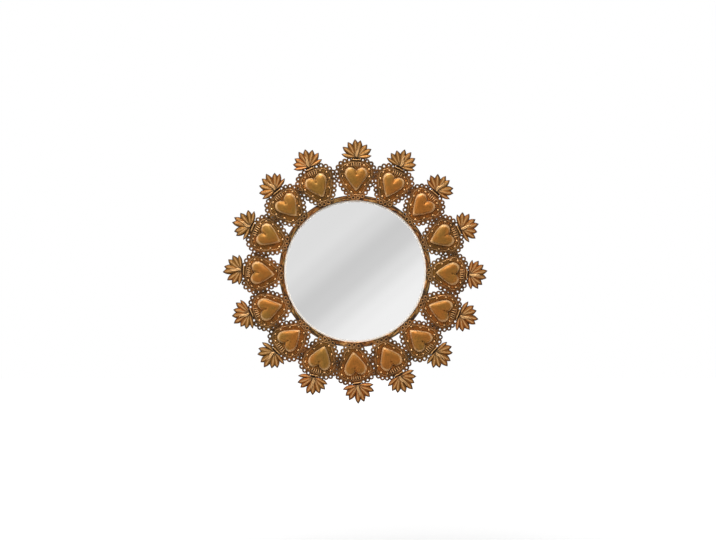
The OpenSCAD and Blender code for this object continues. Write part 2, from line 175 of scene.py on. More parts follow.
def inside(loop, points):
    """Which points lie within the closed loop."""
    a = loop
    b = np.roll(loop, -1, axis=0)
    x, y = points[:, :1], points[:, 1:]
    crosses = (a[None, :, 1] > y) != (b[None, :, 1] > y)
    rise = np.where(b[:, 1] == a[:, 1], 1e-9, b[:, 1] - a[:, 1])
    at = a[None, :, 0] + (y - a[None, :, 1]) * (b[:, 0] - a[:, 0])[None] / rise[None]
    return (crosses & (x < at)).sum(1) % 2 == 1


def bump_at(value, middle, half_width):
    """1 at the middle, falling away on both sides like a bell."""
    return np.exp(-((value - middle) / half_width)**2)


def rise_between(value, low, high):
    """0 up to low, 1 from high on, and a smooth rise between them."""
    t = np.clip((value - low) / (high - low), 0, 1)
    return t * t * (3 - 2 * t)


def waves(points, wavelength, rng):
    """Soft random dents, about -1 to 1, with waves of about that length."""
    count = 7
    total = np.zeros(len(points))
    for _ in range(count):
        direction = rng.normal(size=points.shape[1])
        direction /= np.linalg.norm(direction)
        pitch = wavelength * rng.uniform(0.7, 1.6)
        phase = rng.uniform(0, 6.28)
        total += np.sin(points @ direction * 2 * math.pi / pitch + phase)
    return total / math.sqrt(count)


# Places

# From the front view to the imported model's frame
FROM_FRONT = Matrix.Rotation(math.radians(90), 4, "X")


def at_place(k):
    """From an upright plate's own view to the front view, at place k clockwise from the top."""
    turn = math.radians(-360 / HEARTS * k - WANDER[k])
    return (Matrix.Rotation(turn, 4, "Z") @ Matrix.Translation((0, 0, PLATE_BACK))
            @ Matrix.Rotation(math.radians(PLATE_ANGLE), 4, "Y"))


def leaning(k):
    """The lean of the plate at place k about its middle."""
    pivot = Vector((0, WIDEST_Y, 0))
    lean = Matrix.Rotation(math.radians(-PLATE_LEAN[k]), 4, "Z")
    return Matrix.Translation(pivot) @ lean @ Matrix.Translation(-pivot)


def moved(points, matrix):
    """The points turned and shifted by the matrix."""
    m = np.array(matrix)
    return points @ m[:3, :3].T + m[:3, 3]


# Meshes

def build(name, points, faces, material, node_names, attributes, body="frame", sharp=50):
    """One piece from points in the front view. Attributes are one number for each point."""
    mesh = bpy.data.meshes.new(name)
    mesh.from_pydata((moved(np.asarray(points), FROM_FRONT) * MM).tolist(), [], faces)
    mesh.validate()
    for key, values in attributes.items():
        layer = mesh.attributes.new(key, "FLOAT", "POINT")
        layer.data.foreach_set("value", np.asarray(values, np.float32))
    mesh.shade_smooth()
    mesh.set_sharp_from_angle(angle=math.radians(sharp))
    mesh.materials.append(material)
    piece = bpy.data.objects.new(name, mesh)
    bpy.context.scene.collection.objects.link(piece)
    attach(piece, body)
    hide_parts(*node_names)
    return piece


def grid_faces(rows, columns, closed=False):
    """Quads between neighbouring rows of points. Closed rows join their two ends as well."""
    faces = []
    for r in range(rows - 1):
        for c in range(columns if closed else columns - 1):
            d = (c + 1) % columns
            a = r * columns
            b = a + columns
            faces.append((a + c, a + d, b + d, b + c))
    return faces


def tube_faces(rows, around):
    """Quads between closed rows of points, turned outwards, and a flat face over each end."""
    last = (rows - 1) * around
    return ([f[::-1] for f in grid_faces(rows, around, closed=True)]
            + [tuple(range(around)), tuple(range(last + around - 1, last - 1, -1))])


def rim_edges(faces):
    """Each edge that only one face has, in that face's order."""
    edges = dict.fromkeys(e for face in faces for e in zip(face, face[1:] + face[:1]))
    return [e for e in edges if e[::-1] not in edges]


def sheet_shell(front, thickness, faces):
    """A closed shell of even thickness behind a front surface."""
    back = front - [0, 0, thickness]
    n = len(front)
    shell = faces + [tuple(i + n for i in f[::-1]) for f in faces]
    shell += [(b, a, a + n, b + n) for a, b in rim_edges(faces)]
    return np.vstack([front, back]), shell


class Shells:
    """Several closed shells and their attributes, gathered into one mesh."""

    def __init__(self):
        self.points = []
        self.faces = []
        self.wear = []
        self.soot = []

    def add(self, points, faces, wear, soot):
        first = sum(len(p) for p in self.points)
        self.points.append(points)
        self.faces += [tuple(first + i for i in f) for f in faces]
        self.wear.append(np.broadcast_to(wear, len(points)))
        self.soot.append(np.broadcast_to(soot, len(points)))

    def build(self, name, material, node_names, slot, matrix):
        build(name, moved(np.vstack(self.points), matrix), self.faces, material, node_names,
              attributes={"wear": np.concatenate(self.wear), "soot": np.concatenate(self.soot)})


# Materials

# The places of the factor and the two colours among a Mix node's sockets, and of its colour result
MIX_SHARE = 0
MIX_A = 6
MIX_B = 7
MIX_RESULT = 2


class Finish:
    """One material's node tree. Each method adds a node and returns its output."""

    def __init__(self, name):
        self.material = bpy.data.materials.new(name)
        self.material.use_nodes = True
        self.tree = self.material.node_tree
        self.shader = self.tree.nodes["Principled BSDF"]
        self.place = self.node("ShaderNodeTexCoord").outputs["Object"]

    def node(self, kind, **settings):
        made = self.tree.nodes.new(kind)
        for key, value in settings.items():
            setattr(made, key, value)
        return made

    def put(self, socket, value):
        if isinstance(value, bpy.types.NodeSocket):
            self.tree.links.new(value, socket)
        else:
            socket.default_value = value

    def set(self, **values):
        for key, value in values.items():
            self.put(self.shader.inputs[key.replace("_", " ")], value)

    def attribute(self, name):
        return self.node("ShaderNodeAttribute", attribute_name=name).outputs["Fac"]

    def stretched(self, scale):
        mapping = self.node("ShaderNodeMapping")
        self.put(mapping.inputs["Vector"], self.place)
        mapping.inputs["Scale"].default_value = scale
        return mapping.outputs["Vector"]

    def noise(self, scale, detail=4, rough=0.55, vector=None):
        made = self.node("ShaderNodeTexNoise")
        self.put(made.inputs["Vector"], vector or self.place)
        made.inputs["Scale"].default_value = scale
        made.inputs["Detail"].default_value = detail
        made.inputs["Roughness"].default_value = rough
        return made.outputs["Fac"]

    def level(self, value, low, high, out_low=0.0, out_high=1.0, kind="SMOOTHSTEP"):
        made = self.node("ShaderNodeMapRange", interpolation_type=kind)
        self.put(made.inputs["Value"], value)
        made.inputs["From Min"].default_value = low
        made.inputs["From Max"].default_value = high
        made.inputs["To Min"].default_value = out_low
        made.inputs["To Max"].default_value = out_high
        return made.outputs["Result"]

    def from_middle(self):
        made = self.node("ShaderNodeVectorMath", operation="LENGTH")
        self.put(made.inputs[0], self.place)
        return made.outputs["Value"]

    def math(self, operation, a, b):
        made = self.node("ShaderNodeMath", operation=operation)
        self.put(made.inputs[0], a)
        self.put(made.inputs[1], b)
        return made.outputs[0]

    def mix(self, share, a, b):
        made = self.node("ShaderNodeMix", data_type="RGBA")
        self.put(made.inputs[MIX_SHARE], share)
        self.put(made.inputs[MIX_A], a)
        self.put(made.inputs[MIX_B], b)
        return made.outputs[MIX_RESULT]

    def bump(self, height, distance, strength=0.6):
        made = self.node("ShaderNodeBump")
        self.put(made.inputs["Height"], height)
        made.inputs["Distance"].default_value = distance
        made.inputs["Strength"].default_value = strength
        self.put(self.shader.inputs["Normal"], made.outputs["Normal"])


def rgb(red, green, blue):
    """A colour as a photograph's 0 to 255 numbers show it."""
    def linear(c):
        c /= 255
        return c / 12.92 if c <= 0.04045 else ((c + 0.055) / 1.055)**2.4
    return linear(red), linear(green), linear(blue), 1


def patina(name, warm, olive, rubbed, dark, metallic, roughness, grain, spotty):
    """Aged metal sheet: two ground colours in clouds, rubbed ridges, soot in hollows, and painted
    highlight and shade.
    """
    f = Finish(name)
    clouds = f.noise(scale=9, detail=3)
    mottle = f.noise(scale=75, detail=5, rough=0.65)
    fine = f.noise(scale=520, detail=4, rough=0.6)
    share = f.level(f.math("ADD", clouds, f.math("MULTIPLY", mottle, 0.5)), 0.6, 0.9)
    ground = f.mix(share, warm, olive)
    spots = f.level(f.math("ADD", mottle, f.math("MULTIPLY", fine, 0.35)), 0.6, 0.85)
    ground = f.mix(f.math("MULTIPLY", spots, spotty), ground, dark)
    # Wear brightens rubbed ridges, and on the hearts' edges it is also a painted highlight
    worn = f.level(f.math("ADD", f.attribute("wear"), f.math("MULTIPLY", fine, 0.3)), 0.3, 1.1)
    colour = f.mix(worn, ground, rubbed)
    # Soot darkens hollows, and on the crests it is also painted shade between and under the petals
    soot = f.math("MULTIPLY", f.attribute("soot"), f.level(mottle, 0.2, 0.6, 0.65, 1.0))
    colour = f.mix(soot, colour, dark)
    f.set(Base_Color=colour, Specular_IOR_Level=0.3,
          Metallic=f.level(soot, 0, 1, metallic, metallic * 0.6),
          Roughness=f.level(f.math("ADD", mottle, f.math("MULTIPLY", soot, 0.5)), 0.3, 1.1,
                            roughness - 0.08, roughness + 0.25))
    f.bump(f.math("ADD", fine, mottle), distance=grain, strength=0.5)
    return f.material


def plate_finish():
    return patina("aged_plate_sheet", warm=rgb(144, 83, 31), olive=rgb(122, 83, 35),
                  rubbed=rgb(230, 178, 120), dark=rgb(36, 22, 8), metallic=0.9, roughness=0.48,
                  grain=0.00012, spotty=0.3)


def heart_finish():
    return patina("gilt_heart_sheet", warm=rgb(154, 94, 32), olive=rgb(138, 99, 38),
                  rubbed=rgb(244, 204, 150), dark=rgb(70, 42, 15), metallic=0.58, roughness=0.54,
                  grain=0.00003, spotty=0.12)


def flame_finish():
    return patina("gilt_flame_sheet", warm=rgb(134, 75, 25), olive=rgb(121, 82, 33),
                  rubbed=rgb(226, 176, 116), dark=rgb(38, 23, 9), metallic=0.78, roughness=0.5,
                  grain=0.00003, spotty=0.12)


def hoop_finish():
    """Brown iron, streaked along the hoop by rolling and filing."""
    f = Finish("streaked_hoop_iron")
    f.place = f.node("ShaderNodeUVMap", uv_map="along").outputs["UV"]
    streaks = f.noise(scale=1, detail=6, rough=0.7, vector=f.stretched((45, 260, 1)))
    clouds = f.noise(scale=1, detail=4, rough=0.6, vector=f.stretched((26, 60, 1)))
    fine = f.noise(scale=1, detail=3, rough=0.6, vector=f.stretched((500, 500, 1)))
    warm, olive = rgb(148, 86, 30), rgb(112, 84, 36)
    rubbed, dark, painted_shade_brown = rgb(206, 154, 92), rgb(44, 25, 10), rgb(46, 31, 19)
    ground = f.mix(f.level(clouds, 0.44, 0.56), warm, olive)
    ground = f.mix(f.level(streaks, 0.5, 0.64), ground, rubbed)
    ground = f.mix(f.level(streaks, 0.53, 0.42), ground, dark)
    # The hoop's soot attribute is painted shade: the lip's outer edge and the shadow under each
    # plate's tip
    colour = f.mix(f.attribute("soot"), ground, painted_shade_brown)
    f.set(Base_Color=colour, Metallic=f.level(streaks, 0.2, 0.7, 0.45, 0.75),
          Roughness=f.level(clouds, 0.3, 0.7, 0.38, 0.55))
    f.bump(f.math("ADD", streaks, f.math("MULTIPLY", fine, 0.4)), distance=0.0002)
    return f.material


def glass_finish():
    """Silvered glass: clear in the middle, a little hazy and yellowed at its bevel."""
    f = Finish("silvered_mirror_glass")
    edge = f.attribute("soot")
    haze = f.noise(scale=30, detail=5, rough=0.6)
    silver, bevel = rgb(246, 246, 246), rgb(255, 248, 238)
    f.set(Base_Color=f.mix(edge, silver, bevel),
          Metallic=f.level(edge, 0.3, 0.7, 1, 0),
          Roughness=f.level(f.math("ADD", haze, edge), 0.5, 1.6, 0.01, 0.5))
    return f.material


def board_finish():
    """Pressed hardboard: fibres along the board and a few stains."""
    f = Finish("hardboard_back")
    fibres = f.noise(scale=1, detail=5, rough=0.7, vector=f.stretched((160, 160, 900)))
    stains = f.noise(scale=14, detail=4)
    dark_fibre, pale_fibre, stain = rgb(116, 82, 52), rgb(158, 122, 84), rgb(84, 58, 36)
    colour = f.mix(f.level(fibres, 0.35, 0.65), dark_fibre, pale_fibre)
    colour = f.mix(f.level(stains, 0.55, 0.75, 0, 0.5), colour, stain)
    f.set(Base_Color=colour, Roughness=f.level(fibres, 0.3, 0.7, 0.7, 0.9))
    f.bump(fibres, distance=0.0003)
    return f.material


def plain_metal(name, light, dark, metallic, roughness):
    """Plated or bare metal, dulled in clouds and scratched finely."""
    f = Finish(name)
    clouds = f.noise(scale=140, detail=5, rough=0.65)
    scratches = f.noise(scale=1, detail=3, rough=0.6, vector=f.stretched((300, 300, 2600)))
    colour = f.mix(f.level(clouds, 0.42, 0.68), light, dark)
    f.set(Base_Color=colour, Metallic=metallic,
          Roughness=f.level(clouds, 0.3, 0.7, roughness - 0.08, roughness + 0.18))
    f.bump(f.math("ADD", scratches, clouds), distance=0.00008)
    return f.material


# Hoop and glass

# Dents and dimples of the hammered front, and how far it is sunk to keep them within the lip
HOOP_DENT = 0.12
HOOP_DIMPLE = 0.05
HOOP_SUNK = 0.15
# Painted shadow under a plate's tip is full up to the first length along the hoop and gone at the
# second
TIP_SHADOW_FULL = 13
TIP_SHADOW_GONE = 20
HOOP_PAINTED_SHADE = 0.85


def hoop():
    """The hoop's wall and crowned lip as one ring, a little uneven from the hammer."""
    around = 480
    chamfer = 0.4
    lip_side = LIP_EDGE_FRONT - 0.5
    wall_middle = 10
    lip = [(SIGHT_R + t * (HOOP_OUT_R - SIGHT_R), LIP_EDGE_FRONT + LIP_CROWN * (1 - (2 * t - 1)**2))
           for t in np.linspace(0.04, 0.96, 11)]
    profile = np.array([(SIGHT_R + chamfer, GLASS_FRONT), (SIGHT_R, GLASS_FRONT + chamfer),
                        (SIGHT_R, lip_side)] + lip
                       + [(HOOP_OUT_R, lip_side), (HOOP_OUT_R, wall_middle), (HOOP_OUT_R, chamfer),
                          (HOOP_OUT_R - chamfer, 0), (HOOP_IN_R + chamfer, 0), (HOOP_IN_R, chamfer),
                          (HOOP_IN_R, GLASS_FRONT)])
    count = len(profile)
    rng = np.random.default_rng(HOOP_SEED)
    angle = np.repeat(np.arange(around), count) * 2 * math.pi / around
    radius = np.tile(profile[:, 0], around)
    depth = np.tile(profile[:, 1], around)
    ring = np.column_stack([radius * np.cos(angle), radius * np.sin(angle), depth])
    dent = HOOP_DENT * waves(ring, 30, rng) + HOOP_DIMPLE * waves(ring, 9, rng)
    front = rise_between(depth, LIP_EDGE_FRONT - 1, LIP_EDGE_FRONT)
    ring[:, 2] += dent * front - HOOP_SUNK * front
    across = (radius - SIGHT_R) / (HOOP_OUT_R - SIGHT_R)
    # Painted shade along the lip's outer edge, where the crown falls away, and painted shadow under
    # the tip of each plate
    soot = bump_at(across, 1, 0.24)
    for k in range(HEARTS):
        tip = math.radians(90 - 360 / HEARTS * k - WANDER[k])
        aside = SIGHT_R * np.abs((angle - tip + math.pi) % (2 * math.pi) - math.pi)
        soot = soot + (1 - rise_between(aside, TIP_SHADOW_FULL, TIP_SHADOW_GONE)) * rise_between(across, 0, 0.3)
    soot = HOOP_PAINTED_SHADE * np.clip(soot, 0, 1)
    faces = grid_faces(around + 1, count, closed=True)
    faces = [tuple(i % (around * count) for i in f) for f in faces]
    piece = build("hoop_ring", ring, faces, hoop_finish(), ["hoop"],
                  attributes={"soot": soot}, sharp=35)
    along = piece.data.uv_layers.new(name="along")
    length = running_length(profile) * MM
    for polygon in piece.data.polygons:
        first = polygon.vertices[0] // count
        for loop in polygon.loop_indices:
            vertex = piece.data.loops[loop].vertex_index
            step = vertex // count
            step += around if step < first else 0
            along.data[loop].uv = (step * 2 * math.pi * HOOP_IN_R * MM / around,
                                   length[vertex % count])


def glass():
    """A flat disc with a ground bevel that shows as a thin pale line inside the lip."""
    around = 256
    bevel_from, bevel_to, bevel_drop = SIGHT_R - 4, SIGHT_R + 0.6, 0.6
    face, brink, foot = GLASS_FRONT - 0.02, GLASS_FRONT - 0.03, GLASS_FRONT - bevel_drop
    radii = [bevel_from - 0.4, bevel_from, bevel_to, GLASS_R, GLASS_R]
    depths = [face, brink, foot, foot, GLASS_BACK]
    on_bevel = [0, 1, 1, 1, 1]
    angle = np.arange(around) * 2 * math.pi / around
    rows = [np.column_stack([r * np.cos(angle), r * np.sin(angle), np.full(around, z)])
            for r, z in zip(radii, depths)]
    build("mirror_disc", np.vstack(rows), tube_faces(len(rows), around), glass_finish(),
          ["mirror_glass"],
          attributes={"soot": np.repeat(on_bevel, around)}, sharp=8)


# Heart plates

def track_points():
    """The plate's line of holes as a closed loop, anticlockwise from its foot."""
    right = [(x * TRACK_HALF_W, TRACK_LOW + y * PLATE_H) for x, y in SIDE_SHARES]
    left = [(-x, y) for x, y in right[-2:0:-1]]
    return smooth_curve(right + left, 8, closed=True)


TRACK = track_points()
TRACK_S = running_length(np.vstack([TRACK, TRACK[:1]]))
TRACK_LENGTH = TRACK_S[-1]


def on_track(s, inset):
    """The point at length s along the line of holes, moved inwards by the inset."""
    closed = np.vstack([TRACK, TRACK[:1]])

    def at(length):
        length %= TRACK_LENGTH
        return np.array([np.interp(length, TRACK_S, closed[:, 0]),
                         np.interp(length, TRACK_S, closed[:, 1])])
    run = at(s + 0.5) - at(s - 0.5)
    return at(s) + inset * np.array([-run[1], run[0]]) / np.linalg.norm(run)


def hole_spots():
    """The holes' middles: an even number round the plate, less those that the collar covers."""
    count = 2 * round(TRACK_LENGTH / HOLE_PITCH / 2)
    lengths = [(i + 0.5) * TRACK_LENGTH / count for i in range(count)]
    covered = COLLAR_L / 2 + HOLE_R
    return np.array([on_track(s, 0) for s in lengths if abs(s - TRACK_LENGTH / 2) > covered])


HOLES = hole_spots()
PLATE_MIDDLE = np.array([0, WIDEST_Y])


def outline_reach(angles):
    """How far the scalloped outline reaches from the plate's middle, at each angle."""
    direction = np.column_stack([np.cos(angles), np.sin(angles)])
    offsets = TRACK - PLATE_MIDDLE
    track_angle = np.arctan2(offsets[:, 1], offsets[:, 0])
    order = track_angle.argsort()
    reach = np.interp(angles, track_angle[order], np.linalg.norm(offsets, axis=1)[order],
                      period=2 * math.pi)
    discs = [(h, SCALLOP_R) for h in HOLES] + [(np.array([0, TRACK_HIGH + CREST_UP]), TONGUE_R)]
    for middle, radius in discs:
        q = middle - PLATE_MIDDLE
        along = direction @ q
        aside = np.abs(direction[:, 0] * q[1] - direction[:, 1] * q[0])
        far = along + np.sqrt(np.maximum(radius**2 - aside**2, 0))
        reach = np.where(aside < radius, np.maximum(reach, far), reach)
    return reach


def plate_layout():
    """The plate's front as flat triangles: its outline, its holes and an even net between them."""
    outline_count, hole_count, spacing = 400, 20, 1.05
    row_step, least_room = spacing * 0.866, spacing * 0.55
    turns = np.linspace(-math.pi, math.pi, outline_count, endpoint=False)
    reach = outline_reach(turns)
    outline = PLATE_MIDDLE + reach[:, None] * np.column_stack([np.cos(turns), np.sin(turns)])
    ring = np.linspace(0, 2 * math.pi, hole_count, endpoint=False)
    hole_ring = HOLE_R * np.column_stack([np.cos(ring), np.sin(ring)])
    loops = [outline] + [h + hole_ring for h in HOLES]
    low, high = outline.min(0), outline.max(0)
    row = np.arange(low[0], high[0], spacing)
    net = np.vstack([np.column_stack([row + (i % 2) * spacing / 2, np.full(len(row), y)])
                     for i, y in enumerate(np.arange(low[1], high[1], row_step))])
    net = net[plate_room(net) > least_room]
    points = np.vstack(loops + [net])
    edges = []
    first = 0
    for loop in loops:
        n = len(loop)
        edges += [(first + i, first + (i + 1) % n) for i in range(n)]
        first += n
    made = delaunay_2d_cdt([Vector(p) for p in points], edges, [], 0, 1e-5)
    points = np.array([tuple(v) for v in made[0]])
    triangles = np.array([f for f in made[2] if len(f) == 3])
    middles = points[triangles].mean(1)
    kept = inside(outline, middles)
    for hole in HOLES:
        kept &= ~inside(hole + hole_ring, middles)
    triangles = triangles[kept]
    a, b, c = (points[triangles[:, i]] for i in range(3))
    turn = (b - a)[:, 0] * (c - a)[:, 1] - (b - a)[:, 1] * (c - a)[:, 0]
    triangles[turn < 0] = triangles[turn < 0][:, ::-1]
    used = np.unique(triangles)
    fresh = np.full(len(points), -1)
    fresh[used] = np.arange(len(used))
    return points[used], fresh[triangles].tolist()


def plate_room(points):
    """The least distance from each point to the plate's outline or to a hole's edge."""
    offsets = points - PLATE_MIDDLE
    to_outline = (outline_reach(np.arctan2(offsets[:, 1], offsets[:, 0]))
                  - np.linalg.norm(offsets, axis=1))
    to_hole = np.linalg.norm(points[:, None] - HOLES[None], axis=2).min(1) - HOLE_R
    return np.minimum(to_outline, to_hole)


def heart_outline(steps):
    """The heart's closed outline as shares of half its width and of its height."""
    right = smooth_curve(HEART_SHARES, steps)
    left = right[-2:0:-1] * [-1, 1]
    return np.vstack([right, left])


# The plate's pressed relief, in millimetres: heights H, half widths W and distances OFF
EYELET_H, EYELET_W, EYELET_OFF = 0.75, 1, 1.5
LINE_H, LINE_W = 1, 0.65
ROPE_W, ROPE_OFF, ROPE_PITCH = 0.6, 2.2, 2.4
ROPE_LOW, ROPE_TWIST = 0.25, 0.35
HOLLOW_H, HOLLOW_W, HOLLOW_OFF = 0.35, 0.6, 0.5
RIB_H = 1.6
GADROON_H, GADROON_PITCH = 0.5, 3.3
MOAT_H, MOAT_W, MOAT_OFF = 0.5, 0.7, 0.4
GROUND_H, GROUND_FROM, GROUND_TO = 1.1, 4, 15
EDGE_H, EDGE_W = 0.4, 0.45


def plate_relief(points):
    """The pressed height over each point, how much it is rubbed bright and how sooty it is."""
    away, along_track = nearest_on(TRACK, points)
    inset = np.where(inside(TRACK, points), away, -away)
    heart = heart_outline(6) * [HEART_W / 2, HEART_L] + [0, TRACK_LOW + HEART_UP]
    from_heart, along_heart = nearest_on(heart, points)
    under_heart = inside(heart, points)
    edge = plate_room(points)

    # A raised rim round each hole, a plain line, and a twisted one on its outer side
    to_hole = np.linalg.norm(points[:, None] - HOLES[None], axis=2).min(1)
    eyelet = EYELET_H * bump_at(to_hole, HOLE_R + EYELET_OFF, EYELET_W)
    twist = 0.5 + 0.5 * np.cos(2 * math.pi * along_track / ROPE_PITCH)
    rope = (ROPE_LOW + ROPE_TWIST * twist) * bump_at(inset, LINE_INSET - ROPE_OFF, ROPE_W)
    line = LINE_H * bump_at(inset, LINE_INSET, LINE_W) + rope

    # Beads, each with a hollow round it
    spots = [on_track(f * TRACK_LENGTH / 2, BEAD_INSET) for f in BEAD_SHARES]
    spots = np.array([(side * x, y) for x, y in spots for side in (1, -1)])
    to_bead = np.linalg.norm(points[:, None] - spots[None], axis=2).min(1)
    bead = BEAD_H * np.sqrt(np.clip(1 - (to_bead / BEAD_R)**2, 0, 1))
    hollow = HOLLOW_H * bump_at(to_bead, BEAD_R + HOLLOW_OFF, HOLLOW_W)

    # A fan of ribs above the heart, and gadroons, short strokes, round the rest of it
    rib_top = TRACK_HIGH - LINE_INSET - 0.6
    rib_foot = TRACK_LOW + HEART_UP + HEART_L + 0.8
    upwards = points[:, 1] - (rib_top + rib_foot) / 2
    fan = points[:, 0] / (1 + RIB_SPREAD * np.clip(upwards, -8, 8))
    half_fan = RIB_COUNT * RIB_PITCH / 2
    ribs = (rise_between(points[:, 1], rib_foot, rib_foot + 1.5)
            * rise_between(-points[:, 1], -rib_top, 1.2 - rib_top)
            * rise_between(-np.abs(fan), -half_fan - 0.4, 0.8 - half_fan))
    rib = ribs * (0.5 + 0.5 * np.cos(2 * math.pi * fan / RIB_PITCH))
    strokes = np.cos(2 * math.pi * along_heart / GADROON_PITCH)
    gadroon = (strokes * rise_between(-from_heart, -8, -5.5)
               * rise_between(inset, LINE_INSET + 0.8, LINE_INSET + 2.2)
               * (1 - ribs) * (1 - bump_at(to_bead, 0, 3.2)))
    gadroon[under_heart] = 0
    moat = MOAT_H * bump_at(from_heart, MOAT_OFF, MOAT_W) * ~under_heart
    ground = GROUND_H * rise_between(inset, GROUND_FROM, GROUND_TO)
    height = (ground + eyelet + line + np.maximum(bead, 0) + RIB_H * rib + GADROON_H * gadroon
              - hollow - moat)
    height -= EDGE_H * np.exp(-np.clip(edge, 0, 9) / EDGE_W)

    # What stands up is rubbed bright, and what lies low or between keeps its soot
    near_tip = 1 - rise_between(points[:, 1], TRACK_LOW + 4, TRACK_LOW + 16)
    wear = ((0.45 + 0.25 * near_tip) * eyelet / EYELET_H + 0.8 * line + 1.1 * bead / BEAD_H
            + 0.9 * rib**3 + 0.3 * np.clip(gadroon, 0, 1))
    lace = (1 - rise_between(inset, 1.2, 5.2)) * (1 - 0.4 * near_tip)
    lace_soot = 0.8 * lace * (1 - 0.55 * eyelet)
    gadroon_soot = 0.7 * np.clip(-gadroon, 0, 1)
    edge_soot = 0.7 * (1 - rise_between(edge, 0.3, 1.4)) * (1 - rise_between(inset, 0, 3))
    hollow_soot = 2.6 * hollow + 1.8 * moat
    rib_soot = 1.9 * ribs * np.clip(0.75 - rib, 0, 1)
    line_soot = (bump_at(inset, LINE_INSET - 1.1, 0.6) + bump_at(inset, LINE_INSET + 1.5, 0.8)
                 + 0.7 * bump_at(inset, LINE_INSET - 3.4, 0.7))
    soot = lace_soot + gadroon_soot + edge_soot + hollow_soot + rib_soot + line_soot
    return height, np.clip(wear, 0, 1), np.clip(soot, 0, 1)


# How far holes are drawn in, and over which half width
HOLE_PULLS = (0.05, 0.2, 0.35, 0.7)
HOLE_PULL_W = 1.3
# Bends of the outline, dents and dimples of the sheet, and the share of the relief's full height
PLATE_BEND = 0.4
PLATE_DENT = 0.14
PLATE_DIMPLE = 0.05
PRESSED = (0.9, 1.05)
SOOT_CLOUDS = 0.12


def closed_in(points, spot, amount):
    """Points drawn towards a hole's middle, so that the hole gets smaller and its rim wider."""
    offset = points - spot
    away = np.maximum(np.linalg.norm(offset, axis=1), 0.1)
    pull = amount * bump_at(away, HOLE_R, HOLE_PULL_W)
    return points - offset * (pull / away)[:, None]


def heart_plates():
    """The pressed plates, each with its own dents, hole sizes and soot."""
    flat, triangles = plate_layout()
    height, wear, soot = plate_relief(flat)
    back_soot = np.full(len(flat), 0.4)
    material = plate_finish()
    for k in range(HEARTS):
        rng = np.random.default_rng(PLATE_SEED + k)
        bent = flat
        for spot in HOLES:
            bent = closed_in(bent, spot, rng.choice(HOLE_PULLS))
        bent = bent + PLATE_BEND * np.column_stack([waves(flat, 30, rng), waves(flat, 30, rng)])
        lift = PLATE_DENT * waves(flat, 26, rng) + PLATE_DIMPLE * waves(flat, 7, rng)
        front = np.column_stack([bent, PLATE_T + height * rng.uniform(*PRESSED) + lift])
        points, faces = sheet_shell(front, PLATE_T, triangles)
        points = moved(points, at_place(k) @ leaning(k))
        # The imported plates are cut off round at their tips, so what lies further in moves out
        radius = np.linalg.norm(points[:, :2], axis=1)
        points[:, :2] *= np.maximum(1, TIP_R / radius)[:, None]
        shade = np.clip(soot + SOOT_CLOUDS * waves(flat, 40, rng), 0, 1)
        build(f"pressed_plate_{number(k)}", points, faces, material,
              [f"heart_plate_{number(k)}"],
              attributes={"wear": np.tile(wear, 2), "soot": np.concatenate([shade, back_soot])})


# Puffed hearts

# The crease between the lobes: where it ends, half its width and how much it counts, all as shares
CLEFT_FOOT = 0.68
CLEFT_HALF_W = 0.03
CLEFT_DEPTH = 0.75
# How far in from its edge a heart's steep side reaches, and the side's share of the height
HEART_SIDE = 4
SIDE_PART = 0.36
# The turned rim: its height, its middle and half its width as shares of the way out
RIM_H = 2.1
RIM_AT = 0.979
RIM_HALF_W = 0.0215
# The oval that the rings of points end in: its radius, and how much wider than tall it is
OVAL_R = 21
OVAL_WIDE = 1.05
# The outline of the dome's foot as a share of the rim's
FOOT_SHARE = 0.97
HEART_DENT = 0.16
HEART_BEND = 0.3


def heart_puff(outline):
    """The height share of a sheet blown up inside the heart's outline, as a function of points."""
    fine, rounds = 96, 5000
    last_cell = fine - 1.001
    x = np.linspace(-1.1, 1.1, fine)
    y = np.linspace(-0.06, 1.06, fine)
    grid = np.column_stack([a.ravel() for a in np.meshgrid(x, y)])
    room = inside(outline, grid)
    cleft = (np.abs(grid[:, 0]) < CLEFT_HALF_W) & (grid[:, 1] > CLEFT_FOOT)
    rooms = np.stack([room, room & ~cleft]).reshape(2, fine, fine)
    blown = np.zeros(rooms.shape)
    for _ in range(rounds):
        around = (blown[:, :-2, 1:-1] + blown[:, 2:, 1:-1]
                  + blown[:, 1:-1, :-2] + blown[:, 1:-1, 2:])
        blown[:, 1:-1, 1:-1] = (around / 4 + 1) * rooms[:, 1:-1, 1:-1]
    blown /= blown.max((1, 2), keepdims=True)
    blown = blown[0] * (1 - CLEFT_DEPTH) + blown[1] * CLEFT_DEPTH

    def share(points):
        i = np.clip((points[:, 0] - x[0]) / (x[1] - x[0]), 0, last_cell)
        j = np.clip((points[:, 1] - y[0]) / (y[1] - y[0]), 0, last_cell)
        a, b = i.astype(int), j.astype(int)
        u, v = i - a, j - b
        low = blown[b, a] * (1 - u) + blown[b, a + 1] * u
        high = blown[b + 1, a] * (1 - u) + blown[b + 1, a + 1] * u
        return low * (1 - v) + high * v
    return share


